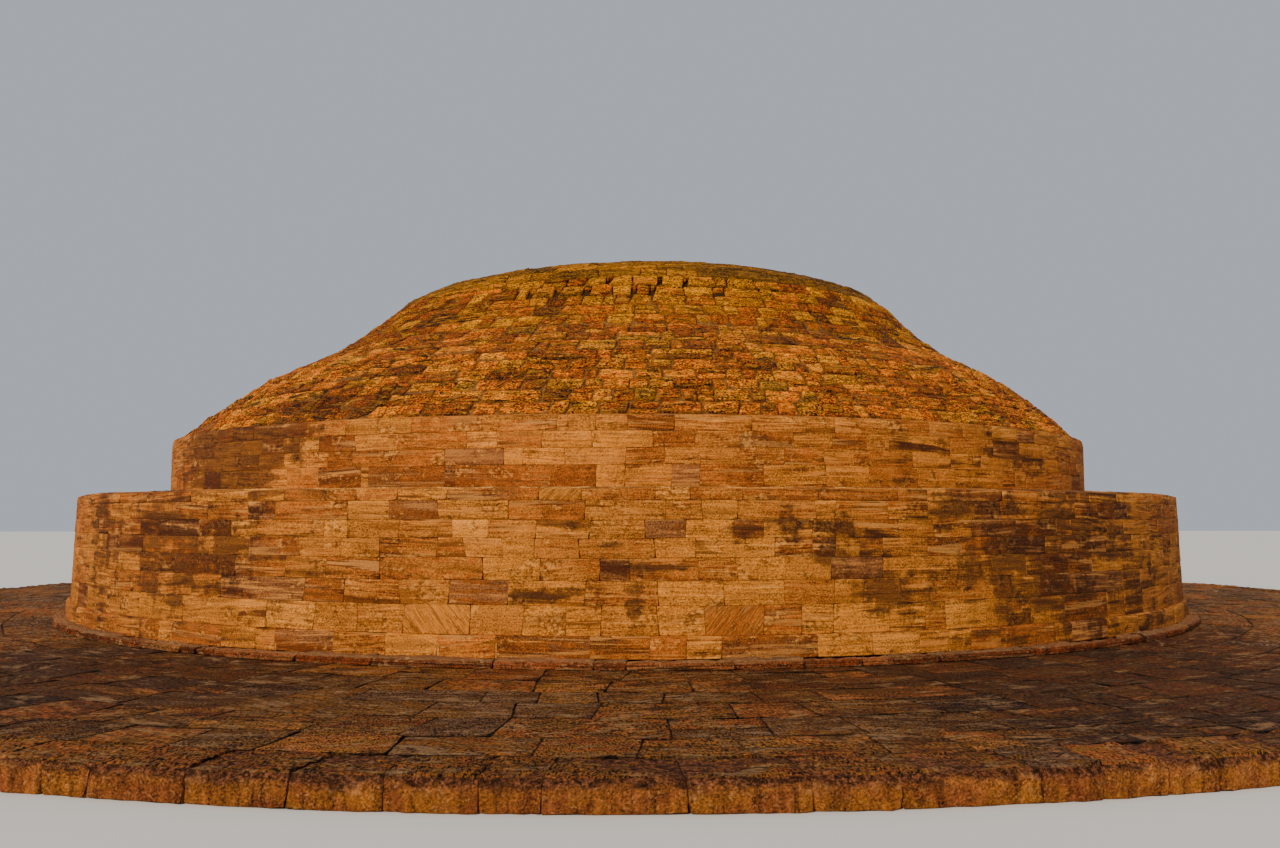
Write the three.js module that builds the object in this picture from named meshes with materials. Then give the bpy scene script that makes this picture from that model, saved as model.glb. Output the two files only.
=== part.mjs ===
// Stupa: a solid round mound of stone on a low paved terrace.
//
// From the ground up it has a terrace held by a ring of kerb stones, a footing strip, a lower
// drum of squared stone, a narrower upper drum set back behind a ledge, and a flattened dome of
// rougher stone that ends in a rim of slabs and a low crown.
//
// Millimetres, +Z up. The origin is the centre of the underside, at ground level, and the front
// faces -Y. The drums and the terrace share one axis. The dome has settled towards +X.

import * as THREE from "three";

// Driving dimensions. Radii are measured from the axis, heights from the surface below.
const TERRACE_RADIUS = 11230;
const TERRACE_HEIGHT = 170;
const KERB_DEPTH = 730;

const FOOTING_RADIUS = 7630;
const FOOTING_HEIGHT = 70;
const BASE_RADIUS = 7500;
const BASE_HEIGHT = 187;

const LOWER_FOOT_RADIUS = 7458;
const LOWER_TOP_RADIUS = 7432;
const LOWER_WALL_HEIGHT = 1116;
const LOWER_LEDGE_HEIGHT = 116;
const LOWER_WALL_DEPTH = 950;

const UPPER_RADIUS = 6385;
const UPPER_WALL_HEIGHT = 549;
const UPPER_LEDGE_HEIGHT = 164;
const UPPER_WALL_DEPTH = 835;

// Dome outline as [radius, height above the upper drum], one band between each two points.
const DOME_OUTLINE = [
  [6300, 0],
  [6000, 280],
  [5400, 752],
  [4600, 1170],
  [4200, 1460],
  [3720, 1900],
];
// Rim outline from the last band to the edge of the crown, and the crown's height at its centre.
const RIM_OUTLINE = [
  [3720, 1900],
  [3500, 2070],
  [3300, 2150],
  [3100, 2210],
];
const CROWN_RISE = 170;
const CROWN_STEPS = 5;

// The dome's centre moves this far towards +X for each unit of height above the upper drum.
const DOME_LEAN = 0.11;

const KERB_SEGMENTS = 12;
const WALL_SEGMENTS = 8;
const STEPS_PER_KERB = 8;
const STEPS_PER_WALL = 10;
const SIDES = WALL_SEGMENTS * STEPS_PER_WALL;
const GAP = 0.3;

// Levels worked out from the heights.
const FOOTING_LEVEL = TERRACE_HEIGHT;
const BASE_LEVEL = FOOTING_LEVEL + FOOTING_HEIGHT;
const LOWER_WALL_LEVEL = BASE_LEVEL + BASE_HEIGHT;
const LOWER_LEDGE_LEVEL = LOWER_WALL_LEVEL + LOWER_WALL_HEIGHT;
const UPPER_WALL_LEVEL = LOWER_LEDGE_LEVEL + LOWER_LEDGE_HEIGHT;
const UPPER_LEDGE_LEVEL = UPPER_WALL_LEVEL + UPPER_WALL_HEIGHT;
const DOME_LEVEL = UPPER_LEDGE_LEVEL + UPPER_LEDGE_HEIGHT;

// Stone finishes.
const COLORS = {
  kerb: 0x8f5a2c,
  flag: 0x5d4433,
  footing: 0x8a4f2e,
  ashlar: 0xb97a35,
  ledge: 0xa87036,
  core: 0x6f5a40,
  rubble: 0x9c6a30,
  slab: 0x6e5433,
};

// A rough stone finish of its own for each mesh.
function stone(color) {
  return new THREE.MeshStandardMaterial({ color, roughness: 0.92, metalness: 0 });
}

// Solid of revolution about Z. The outline is [radius, height] points from the bottom up, and
// is closed over the axis at both ends.
function turned(outline, sides = SIDES) {
  const bottom = outline[0][1];
  const [lastRadius, top] = outline[outline.length - 1];
  const points = [[0, bottom], ...outline];
  if (lastRadius > 0) points.push([0, top]);
  const profile = points.map(([radius, height]) => new THREE.Vector2(radius, height));
  return new THREE.LatheGeometry(profile, sides).rotateX(Math.PI / 2);
}

// Flat-sided core: a regular prism whose faces lie the given distance from the axis.
function prism(apothem, height, sides) {
  const halfSpan = Math.PI / sides;
  const radius = apothem / Math.cos(halfSpan);
  return new THREE.CylinderGeometry(radius, radius, height, sides, 1, false, halfSpan)
    .rotateX(Math.PI / 2)
    .translate(0, 0, height / 2);
}

// Segment of a round wall, centred on the front. Its outer face is an arc that leans in from
// footRadius to topRadius, and its back is the chord at the given distance from the axis.
function wallSegment({ footRadius, topRadius, back, height, segments, steps }) {
  const endRadius = back / Math.cos(Math.PI / segments);
  const halfSpan = Math.PI / segments - GAP / 2 / endRadius;
  const plan = new THREE.Shape();
  const reach = back * Math.tan(halfSpan);
  plan.moveTo(reach, -back);
  plan.lineTo(-reach, -back);
  for (let step = 0; step <= steps; step += 1) {
    const angle = halfSpan * ((2 * step) / steps - 1);
    plan.lineTo(footRadius * Math.sin(angle), -footRadius * Math.cos(angle));
  }
  plan.closePath();
  const geometry = new THREE.ExtrudeGeometry(plan, { depth: height, bevelEnabled: false });
  return leanInwards(geometry, { footRadius, topRadius, height });
}

// Moves the top of the outer face from the foot's radius to the top's.
function leanInwards(geometry, { footRadius, topRadius, height }) {
  const position = geometry.attributes.position;
  const tolerance = 1;
  for (let index = 0; index < position.count; index += 1) {
    const x = position.getX(index);
    const y = position.getY(index);
    const onFace = Math.abs(Math.hypot(x, y) - footRadius) < tolerance;
    if (onFace && position.getZ(index) > height / 2) {
      const scale = topRadius / footRadius;
      position.setXY(index, x * scale, y * scale);
    }
  }
  return geometry;
}

const stupa = new THREE.Group();
stupa.name = "stupa";

// Adds one named piece to the stupa, at the given level.
function addPiece(name, geometry, color, level, { turn = 0, shift = 0 } = {}) {
  const mesh = new THREE.Mesh(geometry, stone(color));
  mesh.name = name;
  mesh.rotation.z = turn;
  mesh.position.set(shift, 0, level);
  stupa.add(mesh);
  return mesh;
}

// Adds a full ring of wall segments, numbered anticlockwise from the front.
function addRing(prefix, segment, color, level) {
  for (let index = 0; index < segment.segments; index += 1) {
    const number = String(index + 1).padStart(2, "0");
    const turn = (2 * Math.PI * index) / segment.segments;
    addPiece(`${prefix}_${number}`, wallSegment(segment), color, level, { turn });
  }
}

function addTerrace() {
  const back = TERRACE_RADIUS - KERB_DEPTH;
  addPiece("terrace_bed", prism(back - GAP, TERRACE_HEIGHT, KERB_SEGMENTS), COLORS.flag, 0);
  const kerb = {
    footRadius: TERRACE_RADIUS,
    topRadius: TERRACE_RADIUS,
    back,
    height: TERRACE_HEIGHT,
    segments: KERB_SEGMENTS,
    steps: STEPS_PER_KERB,
  };
  addRing("terrace_kerb", kerb, COLORS.kerb, 0);
}

function addLowerDrum() {
  const footing = [[FOOTING_RADIUS, 0], [FOOTING_RADIUS, FOOTING_HEIGHT]];
  addPiece("drum_footing", turned(footing), COLORS.footing, FOOTING_LEVEL);
  const base = [[BASE_RADIUS, 0], [BASE_RADIUS, BASE_HEIGHT]];
  addPiece("drum_base_course", turned(base), COLORS.ashlar, BASE_LEVEL);

  const back = LOWER_FOOT_RADIUS - LOWER_WALL_DEPTH;
  const core = prism(back - GAP, LOWER_WALL_HEIGHT, WALL_SEGMENTS);
  addPiece("lower_drum_core", core, COLORS.core, LOWER_WALL_LEVEL);
  const wall = {
    footRadius: LOWER_FOOT_RADIUS,
    topRadius: LOWER_TOP_RADIUS,
    back,
    height: LOWER_WALL_HEIGHT,
    segments: WALL_SEGMENTS,
    steps: STEPS_PER_WALL,
  };
  addRing("lower_drum_wall", wall, COLORS.ashlar, LOWER_WALL_LEVEL);

  const ledge = [[LOWER_TOP_RADIUS, 0], [LOWER_TOP_RADIUS, LOWER_LEDGE_HEIGHT]];
  addPiece("lower_drum_ledge", turned(ledge), COLORS.ledge, LOWER_LEDGE_LEVEL);
}

function addUpperDrum() {
  const back = UPPER_RADIUS - UPPER_WALL_DEPTH;
  const core = prism(back - GAP, UPPER_WALL_HEIGHT, WALL_SEGMENTS);
  addPiece("upper_drum_core", core, COLORS.core, UPPER_WALL_LEVEL);
  const wall = {
    footRadius: UPPER_RADIUS,
    topRadius: UPPER_RADIUS,
    back,
    height: UPPER_WALL_HEIGHT,
    segments: WALL_SEGMENTS,
    steps: STEPS_PER_WALL,
  };
  addRing("upper_drum_wall", wall, COLORS.ashlar, UPPER_WALL_LEVEL);

  const ledge = [[UPPER_RADIUS, 0], [UPPER_RADIUS, UPPER_LEDGE_HEIGHT]];
  addPiece("upper_drum_ledge", turned(ledge), COLORS.ledge, UPPER_LEDGE_LEVEL);
}

// Adds a turned piece of the dome, with its outline given in heights above the upper drum.
function addDomePiece(name, outline, color) {
  const foot = outline[0][1];
  const top = outline[outline.length - 1][1];
  const raised = outline.map(([radius, height]) => [radius, height - foot]);
  const shift = (DOME_LEAN * (foot + top)) / 2;
  addPiece(name, turned(raised), color, DOME_LEVEL + foot, { shift });
}

// Low crown inside the rim, a flat curve that rises to the centre.
function crownOutline() {
  const [edgeRadius, edgeHeight] = RIM_OUTLINE[RIM_OUTLINE.length - 1];
  const outline = [];
  for (let step = 0; step <= CROWN_STEPS; step += 1) {
    const angle = (Math.PI / 2) * (step / CROWN_STEPS);
    outline.push([edgeRadius * Math.cos(angle), edgeHeight + CROWN_RISE * Math.sin(angle)]);
  }
  outline[CROWN_STEPS][0] = 0;
  return outline;
}

function addDome() {
  for (let band = 1; band < DOME_OUTLINE.length; band += 1) {
    const outline = [DOME_OUTLINE[band - 1], DOME_OUTLINE[band]];
    addDomePiece(`dome_band_${band}`, outline, COLORS.rubble);
  }
  addDomePiece("dome_rim", RIM_OUTLINE, COLORS.slab);
  addDomePiece("dome_crown", crownOutline(), COLORS.slab);
}

addTerrace();
addLowerDrum();
addUpperDrum();
addDome();

export default stupa;
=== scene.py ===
"""Stupa: lays every course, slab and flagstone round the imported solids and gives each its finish.

Laid out as an add-on and run as a script. All lengths are metres. The front faces -Y, and an
angle round the axis is counted from the front towards +X.
"""

import math
from dataclasses import dataclass, fields, replace

import bpy
import numpy as np
from bpy.props import FloatProperty, FloatVectorProperty, PointerProperty
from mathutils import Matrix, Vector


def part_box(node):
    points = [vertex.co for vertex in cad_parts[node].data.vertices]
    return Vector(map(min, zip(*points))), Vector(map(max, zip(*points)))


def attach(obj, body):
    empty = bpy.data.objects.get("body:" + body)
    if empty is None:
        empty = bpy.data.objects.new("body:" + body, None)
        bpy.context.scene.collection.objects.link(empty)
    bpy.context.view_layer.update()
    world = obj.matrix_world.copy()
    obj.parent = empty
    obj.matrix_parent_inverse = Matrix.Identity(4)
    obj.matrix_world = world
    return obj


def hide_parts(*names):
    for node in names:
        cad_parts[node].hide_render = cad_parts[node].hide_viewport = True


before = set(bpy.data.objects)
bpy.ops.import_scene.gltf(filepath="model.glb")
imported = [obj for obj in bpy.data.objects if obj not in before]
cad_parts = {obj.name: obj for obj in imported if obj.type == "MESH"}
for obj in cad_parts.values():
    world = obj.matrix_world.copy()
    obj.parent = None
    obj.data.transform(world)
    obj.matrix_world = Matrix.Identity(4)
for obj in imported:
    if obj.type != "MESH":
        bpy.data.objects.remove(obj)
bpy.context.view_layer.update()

bl_info = {
    "name": "Stupa",
    "version": (1, 0, 0),
    "blender": (4, 5, 0),
    "location": "View3D > Sidebar > Stupa",
    "description": "Lays the stones of a round stupa around its solids",
    "category": "Object",
}

TURN = 2 * math.pi


# Sizes taken from the frame

def nodes_named(prefix):
    """Names of the solids that start with the prefix, in order."""
    return [name for name in sorted(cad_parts) if name.startswith(prefix)]


def levels(node):
    """Lowest and highest level of a solid."""
    low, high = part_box(node)
    return low.z, high.z


def radius_of(node):
    """Half the width of a full round solid."""
    low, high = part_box(node)
    return (high.x - low.x) / 2


def dome_points():
    """Radius and level of the foot of each dome band, of the rim and of the crown."""
    names = [*nodes_named("dome_band_"), "dome_rim", "dome_crown"]
    return [(radius_of(name), levels(name)[0]) for name in names]


def dome_lean():
    """Sideways shift of the dome for each metre above the drum, from the crown's place."""
    low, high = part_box("dome_crown")
    middle = (low.z + high.z) / 2
    return (low.x + high.x) / 2 / (middle - DOME_FOOT)


TERRACE_TOP = levels("terrace_bed")[1]
KERB_RADIUS = -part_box("terrace_kerb_01")[0].y
FOOTING_RADIUS = radius_of("drum_footing")
FOOTING_HEIGHT = levels("drum_footing")[1] - TERRACE_TOP
BASE_RADIUS = radius_of("drum_base_course")
LOWER_FOOT_RADIUS = -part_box("lower_drum_wall_01")[0].y
LOWER_RADIUS = radius_of("lower_drum_ledge")
UPPER_RADIUS = radius_of("upper_drum_ledge")
DOME_FOOT, DOME_TOP = levels("dome_band_1")[0], levels("dome_crown")[1]
DOME_LEAN = dome_lean()


# The photographed view, as a pinhole camera in the frame

PHOTO_WIDTH, PHOTO_HEIGHT = 1280, 848
FOCAL_PIXELS = 1087.4
SENSOR_WIDTH = 36.0
VIEW_REACH = 500.0
EYE = (-0.539, -16.498, TERRACE_TOP + 1.234)
EYE_PITCH = 0.0851
EYE_TURN = 0.0423


@dataclass(frozen=True)
class Sight:
    """Where the ray through a pixel of the photo meets an outline's face."""

    angle: float
    along: float
    height: float
    pixel: float


def seen(column, row, outline):
    """Follows the ray through a pixel of the photo to an outline's face.

    The ray starts at the eye. Where the outline is flat, the ray is followed down to its level.
    Otherwise its horizontal part meets a circle of the outline's radius, and the height there
    gives a better radius, a few times over.
    """
    across = (column - PHOTO_WIDTH / 2) / FOCAL_PIXELS
    above = (PHOTO_HEIGHT / 2 - row) / FOCAL_PIXELS
    ahead = math.cos(EYE_PITCH) - math.sin(EYE_PITCH) * above
    climb = math.sin(EYE_PITCH) + math.cos(EYE_PITCH) * above
    step_x = math.cos(EYE_TURN) * across + math.sin(EYE_TURN) * ahead
    step_y = math.cos(EYE_TURN) * ahead - math.sin(EYE_TURN) * across
    square = step_x ** 2 + step_y ** 2
    height = float(outline.points[:, 1].mean())
    shift = 0.0
    reach = (height - EYE[2]) / climb
    for _ in range(0 if outline.flat else 8):
        radius = outline.radius_at(height)
        shift = outline.lean * max(height - DOME_FOOT, 0)
        half = (EYE[0] - shift) * step_x + EYE[1] * step_y
        rest = (EYE[0] - shift) ** 2 + EYE[1] ** 2 - radius ** 2
        reach = (-half - math.sqrt(max(half ** 2 - square * rest, 0))) / square
        height = EYE[2] + reach * climb
    x, y = EYE[0] - shift + reach * step_x, EYE[1] + reach * step_y
    along = outline.points[0, 0] - math.hypot(x, y) if outline.flat else outline.along_at(height)
    return Sight(math.atan2(x, -y), along, height, reach / FOCAL_PIXELS)


# Outlines of the faces

class Outline:
    """Path of (radius, height) points, from the foot up or from outside in, that faces follow."""

    BLUR = 0.02

    def __init__(self, points, lean=0.0):
        self.points = np.array(points, float)
        steps = np.hypot(*np.diff(self.points, axis=0).T)
        self.marks = np.concatenate([[0], np.cumsum(steps)])
        self.length = float(self.marks[-1])
        self.flat = bool(np.ptp(self.points[:, 1]) == 0)
        self.lean = lean

    def at(self, along):
        """Radius and height at a distance along the path."""
        radius = np.interp(along, self.marks, self.points[:, 0])
        height = np.interp(along, self.marks, self.points[:, 1])
        return radius, height

    def radius_at(self, height):
        """Radius at a height, on a path that climbs from its first point to its last."""
        return float(np.interp(height, self.points[:, 1], self.points[:, 0]))

    def along_at(self, height):
        """Distance along a climbing path at a height, which runs on straight past its ends."""
        beyond = height - min(max(height, self.points[0, 1]), self.points[-1, 1])
        return float(np.interp(height, self.points[:, 1], self.marks)) + beyond

    def place(self, angle, along, out):
        """Point at an angle and a distance along the path, moved out along the path's normal.

        The normal is the path's direction turned a quarter to the outside. x is the radius
        times the sine of the angle plus the lean, and y is minus the radius times its cosine.
        """
        radius, height = self.at(along)
        before = self.at(along - self.BLUR)
        after = self.at(along + self.BLUR)
        step_r, step_z = after[0] - before[0], after[1] - before[1]
        length = np.maximum(np.hypot(step_r, step_z), 1e-9)
        radius = radius + out * step_z / length
        height = height - out * step_r / length
        shift = self.lean * np.maximum(height - DOME_FOOT, 0)
        return np.stack([radius * np.sin(angle) + shift, -radius * np.cos(angle), height], -1)


def quarter_turn(radius, level, across, up, steps=5, reach=1.0):
    """Points on a quarter of an ellipse round (radius, level), from its side up to its top."""
    turn = np.linspace(0, math.pi / 2 * reach, steps)
    return [(radius + across * math.cos(a), level + up * math.sin(a)) for a in turn]


def rounded_step(radius, foot, top, tread, corner):
    """Outline of a face that turns over a worn edge, an arc of the corner radius, into a tread."""
    arc = quarter_turn(radius - corner, top - corner, corner, corner)
    return Outline([(radius, foot), *arc, (radius - tread, top)])


def step_of(node, radius, tread, corner):
    """Rounded step between the levels of a solid."""
    return rounded_step(radius, *levels(node), tread, corner)


def wall_of(node, foot_radius, top_radius):
    """Plain face between the levels of a solid."""
    foot, top = levels(node)
    return Outline([(foot_radius, foot), (top_radius, top)])


# Noise for the shapes

# Fewest and most waves to a size
WAVE_RANGE = (0.6, 1.7)


def waves(points, size, seed, count=12):
    """Smooth noise of about -1 to 1: a sum of sines along random directions, one wave a size."""
    rng = np.random.default_rng(seed)
    directions = rng.normal(size=(count, 3))
    directions /= np.linalg.norm(directions, axis=1, keepdims=True)
    directions *= TURN / size * rng.uniform(*WAVE_RANGE, (count, 1))
    phases = rng.uniform(0, TURN, count)
    return np.sin(points @ directions.T + phases).sum(-1) / math.sqrt(count)


# Stones

class Palette:
    """Colours of one kind of stone in the order of its finish, with the share of the stones."""

    DRIFT = 0.35

    def __init__(self, **colors):
        self.codes = [code for code, _ in colors.values()]
        self.shares = np.array([share for _, share in colors.values()], float)
        self.last = len(self.codes) - 1
        self.places = {name: index / self.last for index, name in enumerate(colors)}

    def shared(self, **shares):
        """The same colours with other shares of the stones."""
        names = zip(self.places, self.codes)
        return Palette(**{name: (code, shares.get(name, 0.0)) for name, code in names})

    def draw(self, rng, count):
        """Places on the finish's ramp, each near one colour."""
        picked = rng.choice(self.last + 1, count, p=self.shares / self.shares.sum())
        return np.clip(picked + rng.normal(0, self.DRIFT, count), 0, self.last) / self.last


@dataclass(frozen=True)
class Cut:
    """How one kind of stone is cut and laid."""

    panes: tuple
    joint: float = 0.0016
    bevel: float = 0.007
    worn: float = 0.0035
    depth: float = 0.08
    crown: float = 0.001
    rough: float = 0.0025
    rough_size: float = 0.18
    proud: float = 0.002
    tilt: float = 0.0015
    square: tuple = (14.0, 50.0)
    step: float = 0.0
    warp: float = 0.004
    warp_size: float = 1.6
    bedding_turn: float = 0.03
    wedge: float = 0.0


@dataclass(frozen=True)
class Row:
    """Stones that the photo shows side by side at a row of pixels, from joint to joint.

    Each has a colour, is lighter or darker by its shade and has its beds turned by an angle, or
    it is a gap under a small stone.
    """

    row: float
    joints: tuple
    colors: str = ""
    shades: tuple = ()
    beds: tuple = ()

    def stones(self):
        """Both ends, the colour, the shade and the turn of each stone."""
        ends = list(zip(self.joints, self.joints[1:]))
        none = (0.0,) * len(ends)
        looks = zip(self.colors.split() or none, self.shades or none, self.beds or none)
        return [(*pair, *look) for pair, look in zip(ends, looks)]


@dataclass
class Cells:
    """Places of stones on an outline: angles of both ends, distances of foot and head, looks."""

    # Range of the share of the height at which a stone is divided
    SPLIT_AT = (0.36, 0.64)

    left_low: np.ndarray
    left_high: np.ndarray
    right_low: np.ndarray
    right_high: np.ndarray
    low: np.ndarray
    high: np.ndarray
    tone: np.ndarray
    shade: np.ndarray
    beds: np.ndarray

    @classmethod
    def joined(cls, groups):
        """All the stones of several groups as one group."""
        names = [field.name for field in fields(cls)]
        return cls(*[np.concatenate([getattr(group, name) for group in groups]) for name in names])

    def chosen(self, mask):
        """The stones where the mask is true."""
        return Cells(*[getattr(self, field.name)[mask] for field in fields(self)])

    def split(self, rng, share, palette):
        """Divides a share of the stones into one upper and one lower stone."""
        mask = rng.random(len(self.low)) < share
        lower, upper = self.chosen(mask), self.chosen(mask)
        part = rng.uniform(*self.SPLIT_AT, mask.sum())
        for side in ("", "left_", "right_"):
            foot, head = getattr(lower, f"{side}low"), getattr(lower, f"{side}high")
            middle = foot + (head - foot) * part
            setattr(lower, f"{side}high", middle)
            setattr(upper, f"{side}low", middle)
        upper.tone = palette.draw(rng, mask.sum())
        return Cells.joined([self.chosen(~mask), lower, upper])


def stone_template(across, up):
    """Grid of across by up panes, a skirt round it and one back, with shared corners merged."""
    u, v = np.meshgrid(np.arange(-1, across + 2), np.arange(-1, up + 2), indexing="ij")
    sunk = (u < 0) | (u > across) | (v < 0) | (v > up)
    keys = np.stack([np.clip(u, 0, across), np.clip(v, 0, up), sunk], -1).reshape(-1, 3)
    corners, index = np.unique(keys, axis=0, return_inverse=True)
    index = index.reshape(u.shape)
    quads = np.stack([index[:-1, :-1], index[1:, :-1], index[1:, 1:], index[:-1, 1:]], -1)
    quads = quads.reshape(-1, 4)
    whole = (quads != np.roll(quads, 1, axis=1)).all(1)
    edge = np.concatenate([index[1:-1, 0], index[-1, 1:-1], index[-2:0:-1, -1], index[0, -2:0:-1]])
    ring = edge[edge != np.roll(edge, 1)]
    return corners, quads[whole], ring[::-1]


# Largest shift of a joint between rings, in ring depths, and usual lean of the joints in them
RING_SHIFT = 0.12
RING_SLANT = 0.03


def column(values):
    """Values of the stones, one to a row, ready to meet their corners."""
    return np.asarray(values)[:, None]


def between(first, last, share):
    """The value at a share of the way from the first to the last."""
    return first * (1 - share) + last * share


def spaced(index, last, border):
    """Places from -1 to 1 of grid lines, with the outermost panes as wide as the border."""
    inner = (2 * (index - 1) / max(last - 2, 1) - 1) * (1 - 2 * border)
    return np.where(index == 0, -1.0, np.where(index == last, 1.0, inner))


class Masonry:
    """Stones gathered into one mesh, with the values that their finish reads."""

    # Courses: range of the random steps, room beside placed stones in stone lengths, least
    # angle between two joints and limit of the random shades
    STEPS, ROOM, LEAST_TURN, SHADE_LIMIT = (0.5, 2.4), 0.35, 0.006, 1.6

    # Faces: least length and height, and the widest border as a share of them
    LEAST_SIZE, BORDER = 0.03, 0.2

    # Joints: range of their random widths, and how much of that the ends and the beds take
    JOINTS, END_JOINT, BED_JOINT = (0.4, 1.6), 1.2, 2

    # Grain: reach of its random origins, and strength of the beds, level or turned
    GRAIN_REACH, BEDDED, TOOLED = 50, (0.5, 1.3), 0.9

    # Surface: shares of the coarse and the fine noise
    COARSE, FINE = 0.65, 0.35

    def __init__(self, outline, palette, stains=(), *, seed):
        self.outline = outline
        self.seed = seed
        self.palette = palette
        self.stains = stains
        self.rng = np.random.default_rng(seed)
        self.points, self.faces, self.count = [], [], 0
        keys = ("grain", "tone", "shade", "edge", "lift", "bedded", "stain")
        self.values = {key: [] for key in keys}

    def course(self, low, high, length, spread=0.34, slant=0.006, rows=()):
        """One course that closes round the axis, with joints at random steps that lean a little.

        The stones seen in the photo that lie in the course keep their joints and colours.
        """
        outline, rng = self.outline, self.rng
        radius = float(outline.at((low + high) / 2)[0])
        count = max(3, round(TURN * radius / length))
        steps = np.clip(rng.lognormal(0, spread, count), *self.STEPS)
        joints = rng.uniform(0, TURN) + np.cumsum(steps) / steps.sum() * TURN
        joints = (joints + math.pi) % TURN - math.pi
        marked = []
        for row in rows:
            for first, last, *look in row.stones():
                left, right = (seen(end, row.row, outline) for end in (first, last))
                inside = outline.points[0, 1] <= left.height < outline.points[-1, 1]
                if inside and low <= left.along < high:
                    marked.append((left.angle, right.angle, *look))
        margin = self.ROOM * length / radius
        for left, right, *_ in marked:
            joints = joints[(joints < left - margin) | (joints > right + margin)]
        ends = [end for marks in marked for end in marks[:2]]
        joints = np.sort(np.concatenate([joints, ends]))
        joints = joints[np.append(True, np.diff(joints) > self.LEAST_TURN)]
        count = len(joints)
        tone = self.palette.draw(rng, count)
        shade = rng.normal(0, 1, count).clip(-self.SHADE_LIMIT, self.SHADE_LIMIT)
        beds, foot = np.zeros(count), np.full(count, low)
        for left, _, color, lighter, turned in marked:
            nearest = np.argmin(np.abs(joints - left))
            tone[nearest] = self.palette.places.get(color, 0.5)
            shade[nearest], beds[nearest] = lighter, turned
            if color == "gap":
                foot[nearest] += GAP_SHARE * (high - low)
        lean = rng.normal(0, slant, count) / radius
        following = np.append(joints[1:], joints[0] + TURN)
        next_lean = np.append(lean[1:], lean[0])
        return Cells(
            joints - lean, joints + lean, following - next_lean, following + next_lean,
            foot, np.full(count, high), tone, shade, beds,
        )

    def warped(self, angle, along, cut):
        """Distances moved by smooth noise of the place, which fades out at both ends."""
        flat = self.outline.place(angle, along, np.zeros_like(angle))
        to_end = np.minimum(along, self.outline.length - along)
        fade = np.clip(to_end / (4 * cut.warp + 0.001), 0, 1)
        return along + cut.warp * fade * waves(flat, cut.warp_size, self.seed + 5, 8)

    def lay(self, cells, cut):
        """Adds one stone for each cell.

        A face is a grid on the outline: its ends run straight from the foot's angle to the
        head's, and its corners are drawn in by the ratio of the larger coordinate to the
        coordinates' norm of a random exponent, and it tapers to its foot or its head. It
        stands out by a crown that falls off as one minus each squared coordinate, a random
        tilt and smooth noise, and its outermost panes turn down to the joint.
        """
        rng, outline = self.rng, self.outline
        corners, quads, ring = stone_template(*cut.panes)
        across, up = cut.panes
        number = len(cells.low)
        radius = outline.at((cells.low + cells.high) / 2)[0]
        span = (cells.right_low + cells.right_high - cells.left_low - cells.left_high) / 2
        length = column(np.maximum(span * radius, self.LEAST_SIZE))
        height = column(np.maximum(cells.high - cells.low, self.LEAST_SIZE))
        s = spaced(corners[:, 0], across, np.minimum(cut.bevel / length, self.BORDER))
        t = spaced(corners[:, 1], up, np.minimum(cut.bevel / height, self.BORDER))
        sunk = corners[:, 2].astype(bool)
        border = (np.abs(s) > 0.9999) | (np.abs(t) > 0.9999)
        edge = np.minimum((1 - np.abs(s)) * length, (1 - np.abs(t)) * height) / 2
        power = column(rng.uniform(*cut.square, number))
        larger = np.maximum(np.abs(s), np.abs(t))
        norm = (np.abs(s) ** power + np.abs(t) ** power) ** (1 / power)
        draw = np.where(larger > 0, larger / np.maximum(norm, 1e-9), 1.0)
        joint = cut.joint * column(rng.uniform(*self.JOINTS, number))
        taper = 1 + column(rng.choice((-1.0, 1.0), number)) * t
        s_in = s * draw * (1 - self.END_JOINT * joint / length)
        s_in *= 1 - column(rng.uniform(0, cut.wedge, number)) * taper
        t_in = t * draw * (1 - self.BED_JOINT * joint / height)

        share, lift = (s_in + 1) / 2, (t_in + 1) / 2
        left = between(column(cells.left_low), column(cells.left_high), lift)
        right = between(column(cells.right_low), column(cells.right_high), lift)
        angle = between(left, right, share)
        along = between(column(cells.low), column(cells.high), lift)
        along = self.warped(angle, along, cut)
        flat = outline.place(angle, along, np.zeros_like(angle))
        origin = rng.uniform(-self.GRAIN_REACH, self.GRAIN_REACH, (number, 3))
        own = flat + origin[:, None]
        noise = waves(own, cut.rough_size, self.seed + 1) * self.COARSE
        noise += waves(own, cut.rough_size / 3, self.seed + 2) * self.FINE
        out = cut.crown * (1 - s ** 2) * (1 - t ** 2) + cut.rough * noise
        out += column(rng.normal(0, cut.proud, number)) + cut.step * t
        out += column(rng.normal(0, cut.tilt, number)) * s
        out += column(rng.normal(0, cut.tilt, number)) * t
        out -= cut.worn * border
        out = np.where(sunk, -cut.depth, out)
        placed = outline.place(angle, along, out)

        turn = column(rng.normal(0, cut.bedding_turn, number) + cells.beds)
        run, rise = angle * column(radius), along
        grain = np.stack([
            run * np.cos(turn) + rise * np.sin(turn),
            rise * np.cos(turn) - run * np.sin(turn),
            out,
        ], -1) + origin[:, None]
        grain *= column(np.where(cells.beds, TOOLING, 1.0))[..., None]
        self._keep(placed, quads, ring)
        bedded = np.where(cells.beds, self.TOOLED, rng.uniform(*self.BEDDED, number))
        stored = {
            "tone": column(cells.tone), "shade": column(cells.shade), "bedded": column(bedded),
            "edge": np.where(sunk, 0.0, edge), "lift": t,
            "stain": self.stained(angle, along, column(radius)),
        }
        self.values["grain"].append(grain.reshape(-1, 3))
        for key, values in stored.items():
            self.values[key].append(np.broadcast_to(values, angle.shape).ravel())

    def lay_course(self, low, high, length, cut, **settings):
        """One course of stones between two distances on the outline."""
        self.lay(self.course(low, high, length, **settings), cut)

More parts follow.
